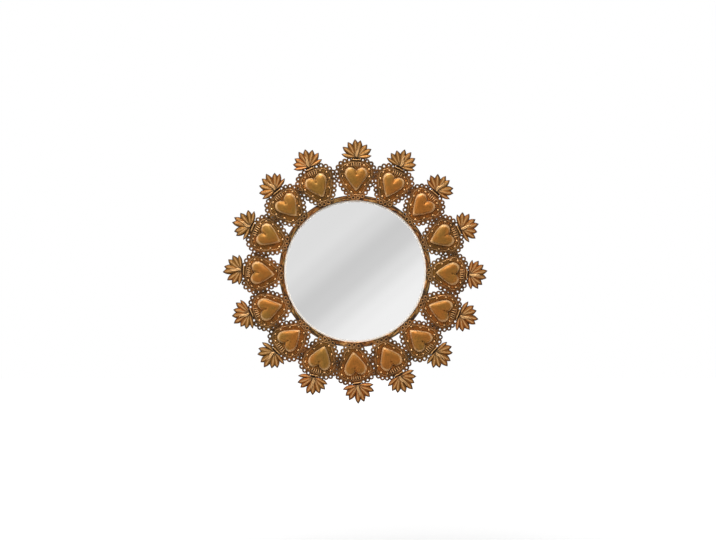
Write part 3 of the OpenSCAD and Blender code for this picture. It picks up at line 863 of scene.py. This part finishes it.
def hearts():
    """The puffed hearts as closed shells: rings of points from the rim to the top."""
    material = heart_finish()
    outline = heart_outline(7)
    n = len(outline)
    near_rim = [1, 0.998, 0.992, 0.984, 0.976, 0.968, 0.962, 0.955, 0.945, 0.93, 0.91]
    shares = np.concatenate([near_rim, np.linspace(0.885, 0.05, 24)])
    middle = np.array(HEART_MIDDLE)
    size = np.array([HEART_W / 2, HEART_L])
    from_middle = (outline - middle) * size
    angle = np.arctan2(from_middle[:, 1], from_middle[:, 0])
    oval = OVAL_R * np.column_stack([np.cos(angle) * OVAL_WIDE, np.sin(angle)])
    puff = heart_puff(outline * FOOT_SHARE + middle * (1 - FOOT_SHARE))
    foot = from_middle * FOOT_SHARE
    rows = []
    wear = []
    for share in shares:
        # Rings turn from the heart's outline into ovals, so that none crosses another
        roundness = (1 - share)**1.1
        q = share * (from_middle * (1 - roundness) + oval * roundness)
        turned_rim = RIM_H * math.sqrt(max(1 - ((share - RIM_AT) / RIM_HALF_W)**2, 0))
        blown = np.clip(puff(q / size + middle), 0, 1)
        # Near the rim the height is evened out along the ring
        reach = round(6 * rise_between(share, 0.6, 0.92))
        blown = np.mean([np.roll(blown, step) for step in range(-reach, reach + 1)], axis=0)
        from_edge = nearest_on(foot, q)[0] * inside(foot, q)
        side = np.sqrt(1 - (1 - np.clip(from_edge / HEART_SIDE, 0, 1))**2)
        crown = 1 - (1 - blown)**1.4
        dome = HEART_RISE * (SIDE_PART * side + (1 - SIDE_PART) * crown)
        rows.append(np.column_stack([q, np.maximum(dome, turned_rim)]))
        # A pale band near the rim: rubbed wear, and a painted highlight on the dome's edge
        wear.append(np.full(n, 0.6 * rise_between(share, 0.76, 0.95)))
    for k in range(HEARTS):
        rng = np.random.default_rng(HEART_SEED + k)
        points = np.vstack(rows + [[[0, 0, HEART_RISE]]])
        dent = HEART_DENT * waves(points[:, :2], 24, rng)
        points[:, 2] += dent * rise_between(points[:, 2], 1, 6)
        points[:, :2] += HEART_BEND * np.column_stack([waves(points[:, :2], 50, rng),
                                                       waves(points[:, :2], 50, rng)])
        points[:, 2] = np.minimum(points[:, 2], HEART_RISE)
        top = len(points) - 1
        last = (len(rows) - 1) * n
        faces = [f[::-1] for f in grid_faces(len(rows), n, closed=True)]
        faces += [(last + (i + 1) % n, last + i, top) for i in range(n)]
        faces.append(tuple(range(n)))
        points[:, :2] += middle * size
        points += [HEART_ASIDE[k], TRACK_LOW + HEART_UP, PLATE_T]
        build(f"heart_shell_{number(k)}", moved(points, at_place(k) @ leaning(k)), faces, material,
              [f"puffed_heart_{number(k)}"],
              attributes={"wear": np.concatenate(wear + [[0]]), "soot": np.zeros(len(points))})


# Flame crests

# Each pair of petals: its angle from upright, its length and width as shares, and its sideways hook
PETALS = ((11.7, 1, 1, 0.5), (39, 0.935, 1, 1.5), (61, 0.935, 0.95, 1.5), (88, 0.86, 0.68, 3.5))
PETAL_L = 40.8
PETAL_W = 15
PETAL_RIDGE = 3.2
# Each pair lies a step behind the next one, and its right petal a little over the left one
PETAL_STEP = 0.35
PETAL_OVER = 0.1
PETAL_OUTLINE = ((0, 0.28), (0.12, 0.44), (0.3, 0.76), (0.52, 1), (0.66, 1), (0.76, 0.88),
                 (0.84, 0.68), (0.91, 0.43), (0.96, 0.23), (1, 0.03))
# On the petals the dark tips are soot and painted shade, and the dark foot is painted shade
PETAL_LOOK = dict(valley=0, valley_shade=0, tip_soot_and_shade=0.8, foot_shade=0.7, shine=0, rub=0.65,
                  rub_at=0, rub_w=0.3)
FLAME_L = 26
FLAME_W = 7.5
FLAME_OUT = 4
FLAME_RIDGE = 2
FLAME_BEND = 2.5
FLAME_OUTLINE = ((0, 0.45), (0.15, 0.8), (0.3, 1), (0.45, 0.95), (0.6, 0.78), (0.82, 0.48),
                 (0.94, 0.28), (1, 0.06))
# On the flame the dark groove is painted shade
FLAME_LOOK = dict(valley=0.6, valley_shade=0.9, tip_soot_and_shade=0, foot_shade=0, shine=1, rub=0.6,
                  rub_at=0.5, rub_w=0.22)
# How much the petals and flames differ: factors, turns in degrees, and a flame's share of its bend
PETAL_LONGER = (0.96, 1.04)
PETAL_WIDER = (0.92, 1.04)
PETAL_TURN = (-2.5, 2.5)
PETAL_HOOKED = (0.6, 1.4)
FLAME_LONGER = (0.94, 1.04)
FLAME_TURN = (-3, 3)
FLAME_BENT = (0.3, 0.8)
# A leaf's sheet, how far its tip stands out, its sideways waver and its ridge's height along it
LEAF_T = 0.7
LEAF_LIFT = 0.6
LEAF_BEND = 0.4
LEAF_RIDGE = ((0, 0.35), (0.25, 0.85), (0.5, 1), (0.85, 0.75), (1, 0.1))
# The bar's waver, the most rub and painted highlight on its crown, and the most painted shade on
# its sides
BAR_BEND = 0.25
BAR_RUB_AND_HIGHLIGHT = 0.74
BAR_SHADE = 0.3


def leaf(shells, length, width, outline, turn, hook, bend, base_z, ridge, rng, valley,
         valley_shade, tip_soot_and_shade, foot_shade, shine, rub, rub_at, rub_w):
    """A ridged leaf with its foot at the crest's middle. It hooks or snakes sideways.

    The valley is a groove along its middle, and rub is how bright its ridges are, which lie at
    rub_at on each side of the middle.
    """
    stations, across = 19, 17
    # Stations stand closer together towards the tip
    s = 1 - (1 - np.linspace(0, 1, stations))**1.4
    at, share = np.array(outline).T
    half = np.interp(s, at, share) * width / 2
    stray = LEAF_BEND * waves(s[:, None] * 40, 50, rng)
    middle = hook * s**2 + bend * np.sin(2 * math.pi * s) + stray
    middle -= middle[0]
    w = np.linspace(-1, 1, across)
    x = middle[:, None] + half[:, None] * w[None]
    y = length * s[:, None] + 0 * w[None]
    dip = valley * (0.5 + 0.5 * np.cos(2 * math.pi * np.clip(w, -0.5, 0.5)))
    crown = 0.5 * rise_between(1 - np.abs(w), 0, 0.5) + 0.5 * bump_at(w, 0, 0.5)
    crown = (crown * (1 - dip))[None]
    along = np.interp(s, *np.array(LEAF_RIDGE).T)[:, None]
    z = base_z + LEAF_T + ridge * crown * along + LEAF_LIFT * (s**2)[:, None]
    front = np.column_stack([x.ravel(), y.ravel(), z.ravel()])
    turned = moved(front, Matrix.Rotation(math.radians(-turn), 4, "Z"))
    points, faces = sheet_shell(turned, LEAF_T, grid_faces(stations, across))
    # Painted shade: dark sides between neighbouring leaves, a dark foot where they crowd, a dark
    # groove, and dark tips that are partly soot
    tip = rise_between(s, 0.8, 0.97)[:, None]
    foot = 1 - rise_between(s, 0.08, 0.35)[:, None]
    ridges = bump_at(np.abs(w), rub_at, rub_w)[None]
    wear = shine + rub * ridges * (1 - tip) + 0 * s[:, None]
    side_shade = 0.9 * rise_between(np.abs(w), 0.45, 0.9)[None]
    soot = np.clip(tip_soot_and_shade * tip + foot_shade * foot + side_shade
                   + valley_shade * bump_at(w, 0, 0.2)[None], 0, 1)
    back_soot = np.full(len(turned), 0.5)
    shells.add(points, faces, np.tile(wear.ravel(), 2), np.concatenate([soot.ravel(), back_soot]))


def bar(shells, length, width, low_y, base_z, rng):
    """A flattened bar with rounded ends, lying across the crest's foot."""
    stations, around = 19, 12
    s = np.linspace(-1, 1, stations)
    angle = np.arange(around) * 2 * math.pi / around
    size = np.sqrt(np.clip(1 - np.abs(s)**8, 0.02, 1))
    x = length / 2 * s[:, None] + 0 * angle[None]
    y = low_y + width / 2 + width / 2 * size[:, None] * np.cos(angle)[None]
    y += BAR_BEND * waves(s[:, None] * 20, 26, rng)[:, None]
    z = base_z + width / 2 + width / 2 * size[:, None] * np.sin(angle)[None]
    points = np.column_stack([x.ravel(), y.ravel(), z.ravel()])
    # The crown is rubbed bright and partly painted as a highlight, and the sides away from it get
    # painted shade
    wear = np.clip(np.broadcast_to(np.sin(angle)[None], x.shape), 0, 1).ravel()
    shells.add(points, tube_faces(stations, around), BAR_RUB_AND_HIGHLIGHT * wear, BAR_SHADE * (1 - wear))


def neck(shells):
    """The flat sheet between the bar and the petals, dark with painted shadow."""
    back, low, high = 0.1, -COLLAR_DROP - COLLAR_D / 2, 4
    half_foot = COLLAR_L / 2 - 1.5
    half_top = half_foot * 0.7
    corners = ((-half_foot, low), (half_foot, low), (half_top, high), (-half_top, high))
    points = np.array([(x, y, z) for z in (back, back + LEAF_T) for x, y in corners])
    faces = [(3, 2, 1, 0), (4, 5, 6, 7)]
    faces += [(i, (i + 1) % 4, (i + 1) % 4 + 4, i + 4) for i in range(4)]
    # Its soot is painted shadow under the petals and beside the bar
    shells.add(points, faces, 0, 0.9)


def crests():
    """Over each heart, four pairs of petals, a flame, the bar across its foot and the neck."""
    material = flame_finish()
    for k in range(HEARTS):
        rng = np.random.default_rng(CREST_SEED + k)
        shells = Shells()
        for i, (angle, long, wide, hook) in reversed(list(enumerate(PETALS))):
            for side in (-1, 1):
                leaf(shells, length=PETAL_L * long * rng.uniform(*PETAL_LONGER),
                     width=PETAL_W * wide * rng.uniform(*PETAL_WIDER), outline=PETAL_OUTLINE,
                     turn=side * angle + rng.uniform(*PETAL_TURN),
                     hook=-side * hook * rng.uniform(*PETAL_HOOKED), bend=0,
                     base_z=PETAL_STEP * i + PETAL_OVER * (side > 0), ridge=PETAL_RIDGE,
                     rng=rng, **PETAL_LOOK)
        leaf(shells, length=FLAME_L * rng.uniform(*FLAME_LONGER), width=FLAME_W,
             outline=FLAME_OUTLINE, turn=rng.uniform(*FLAME_TURN), hook=0,
             bend=FLAME_BEND * rng.choice([-1, 1]) * rng.uniform(*FLAME_BENT), base_z=FLAME_OUT,
             ridge=FLAME_RIDGE, rng=rng, **FLAME_LOOK)
        bar(shells, COLLAR_L, COLLAR_D, low_y=-COLLAR_DROP - COLLAR_D, base_z=0.3, rng=rng)
        neck(shells)
        foot = Matrix.Translation((CREST_ASIDE[k], TRACK_HIGH + CREST_UP, PLATE_T))
        lean = Matrix.Rotation(math.radians(-CREST_LEAN[k]), 4, "Z")
        shells.build(f"crest_petals_{number(k)}", material, [f"flame_crest_{number(k)}"],
                     "flame_gilt", at_place(k) @ leaning(k) @ foot @ lean)


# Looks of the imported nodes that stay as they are

# The material's name, its light and dark colours, its metallic share and its roughness
PLAIN_METALS = {
    "retaining_tabs": ("bare_tab_iron", (112, 104, 94), (70, 54, 40), 0.8, 0.5),
    "plate_welds": ("weld_bead_metal", (92, 84, 76), (52, 42, 34), 0.7, 0.55),
    "lap_solder": ("grey_solder", (150, 148, 142), (110, 106, 98), 0.8, 0.4),
    "hanger_strap": ("plated_strap", (188, 186, 178), (138, 132, 118), 0.95, 0.32),
    "hanger_ring": ("plated_ring", (196, 194, 186), (150, 144, 130), 0.95, 0.28),
    "hanger_screws": ("screw_brass", (206, 176, 104), (150, 120, 64), 0.95, 0.3),
}


def dress_nodes():
    """Gives each node that is shown as packed its own material."""
    finishes = {"backing_board": board_finish()}
    for node, (name, light, dark, metallic, roughness) in PLAIN_METALS.items():
        finishes[node] = plain_metal(name, rgb(*light), rgb(*dark), metallic, roughness)
    for node, material in finishes.items():
        mesh = frame["nodes"][node].data
        mesh.materials.clear()
        mesh.materials.append(material)


# Stage, camera and lights, in metres

WORLD_LEVEL = 0.2
FLOOR_DOWN = 0.75
FLOOR_SIZE = 14
CARD_AWAY = 6
CARD_SIZE = 9
# The card's soft bands: their slant, half the span that they fill and the grey at each share of it
BAND_SLANT = -40
BAND_HALF = 0.44
BAND_ENDS = (0.94, 0.79)
BAND_GREYS = ((0.12, 0.9), (0.27, 0.79), (0.44, 0.665), (0.56, 0.645), (0.74, 0.74), (0.88, 0.8))
# The card's full glow ends at the first distance from its middle and is least at the second
GLOW_FULL = 0.6
GLOW_END = 1.6
GLOW_LEAST = 0.25


def camera():
    """Straight in front, shifted so that the mirror's middle falls on its own pixel."""
    data = bpy.data.cameras.new("camera")
    data.sensor_width = SENSOR
    data.lens = SENSOR * CAMERA_AWAY / (PHOTO_SIZE[0] * MM_PER_PIXEL * MM)
    eye = bpy.data.objects.new("camera", data)
    aside = (PHOTO_SIZE[0] / 2 - MIRROR_PIXEL[0]) * MM_PER_PIXEL * MM
    above = (MIRROR_PIXEL[1] - PHOTO_SIZE[1] / 2) * MM_PER_PIXEL * MM
    eye.location = (aside, -CAMERA_AWAY - PLATE_BACK * MM, above)
    eye.rotation_euler = (math.radians(90), 0, 0)
    bpy.context.scene.collection.objects.link(eye)
    bpy.context.scene.camera = eye


def seen_white(tree, level):
    """A white emission at strength 1 for what the camera, metal and glass see, else the level."""
    path = tree.nodes.new("ShaderNodeLightPath")
    seen = path.outputs["Is Camera Ray"]
    for ray in ("Is Glossy Ray", "Is Transmission Ray"):
        either = tree.nodes.new("ShaderNodeMath")
        either.operation = "MAXIMUM"
        tree.links.new(seen, either.inputs[0])
        tree.links.new(path.outputs[ray], either.inputs[1])
        seen = either.outputs[0]
    strength = tree.nodes.new("ShaderNodeMapRange")
    strength.inputs["To Min"].default_value = level
    tree.links.new(seen, strength.inputs["Value"])
    return strength.outputs["Result"]


def world():
    """A white studio that gives little light of its own, so that the lamps shape the relief."""
    made = bpy.data.worlds.new("white_studio")
    bpy.context.scene.world = made
    made.use_nodes = True
    background = made.node_tree.nodes["Background"]
    background.inputs["Color"].default_value = (1, 1, 1, 1)
    strength = seen_white(made.node_tree, WORLD_LEVEL)
    made.node_tree.links.new(strength, background.inputs["Strength"])


def plane(name, size, location, rotation, material):
    """A square of the stage, turned by degrees."""
    half = size / 2
    mesh = bpy.data.meshes.new(name)
    mesh.from_pydata([(-half, -half, 0), (half, -half, 0), (half, half, 0), (-half, half, 0)], [],
                     [(0, 1, 2, 3)])
    mesh.materials.append(material)
    piece = bpy.data.objects.new(name, mesh)
    piece.location = location
    piece.rotation_euler = [math.radians(a) for a in rotation]
    bpy.context.scene.collection.objects.link(piece)
    return piece


def floor():
    """A pale floor that lamps light near the mirror and that glows white farther out.

    The mirror's shadow stays on it, since close to the mirror hardly any of its white is glow.
    """
    f = Finish("pale_floor")
    far, glow_near, glow_far = 3, 0.22, 0.98
    glow = f.level(f.from_middle(), 0, far, glow_near, glow_far)
    glow = f.math("MULTIPLY", glow, seen_white(f.tree, 0.0))
    f.set(Base_Color=(0.8, 0.8, 0.8, 1), Roughness=0.9, Specular_IOR_Level=0.0,
          Emission_Color=(1, 1, 1, 1), Emission_Strength=glow)
    plane("pale_floor", FLOOR_SIZE, (0, 0, -FLOOR_DOWN), (0, 0, 0), f.material)


def reflection_card():
    """A soft grey card behind the camera, seen only in the mirror and in polished metal."""
    f = Finish("grey_card")
    turned = f.node("ShaderNodeMapping")
    f.put(turned.inputs["Vector"], f.place)
    turned.inputs["Rotation"].default_value = (0, 0, math.radians(BAND_SLANT))
    split = f.node("ShaderNodeSeparateXYZ")
    f.put(split.inputs["Vector"], turned.outputs["Vector"])
    ramp = f.node("ShaderNodeValToRGB")
    f.put(ramp.inputs["Fac"], f.level(split.outputs["Y"], -BAND_HALF, BAND_HALF, kind="LINEAR"))
    stops = ramp.color_ramp
    stops.interpolation = "EASE"
    for at, grey in BAND_GREYS:
        stops.elements.new(at).color = (grey, grey, grey, 1)
    for end, grey in zip((0, -1), BAND_ENDS):
        stops.elements[end].color = (grey, grey, grey, 1)
    glow = f.node("ShaderNodeEmission")
    f.put(glow.inputs["Color"], ramp.outputs["Color"])
    f.put(glow.inputs["Strength"],
          f.level(f.from_middle(), GLOW_FULL, GLOW_END, 1, GLOW_LEAST, kind="LINEAR"))
    f.put(f.tree.nodes["Material Output"].inputs["Surface"], glow.outputs["Emission"])
    f.tree.nodes.remove(f.shader)
    card = plane("grey_card", CARD_SIZE, (0, -CARD_AWAY, 0), (90, 0, 0), f.material)
    card.visible_camera = False
    card.visible_diffuse = False
    card.visible_shadow = False


def area_light(name, size, power, location):
    """A round soft lamp that faces the mirror's middle."""
    data = bpy.data.lights.new(name, "AREA")
    data.shape = "DISK"
    data.size = size
    data.energy = power
    lamp = bpy.data.objects.new(name, data)
    lamp.location = location
    lamp.rotation_euler = (-Vector(location)).to_track_quat("-Z", "Y").to_euler()
    bpy.context.scene.collection.objects.link(lamp)


def lights():
    area_light("top_softbox", size=1.4, power=62, location=(-0.3, -0.8, 1.9))
    area_light("left_softbox", size=1.2, power=14, location=(-2.1, -0.7, 0.3))
    area_light("right_softbox", size=1.2, power=6, location=(2.1, -0.7, 0.1))


camera()
world()
floor()
reflection_card()
lights()
hoop()
glass()
heart_plates()
hearts()
crests()
dress_nodes()

bpy.context.scene.view_settings.view_transform = "Standard"
bpy.context.view_layer.update()
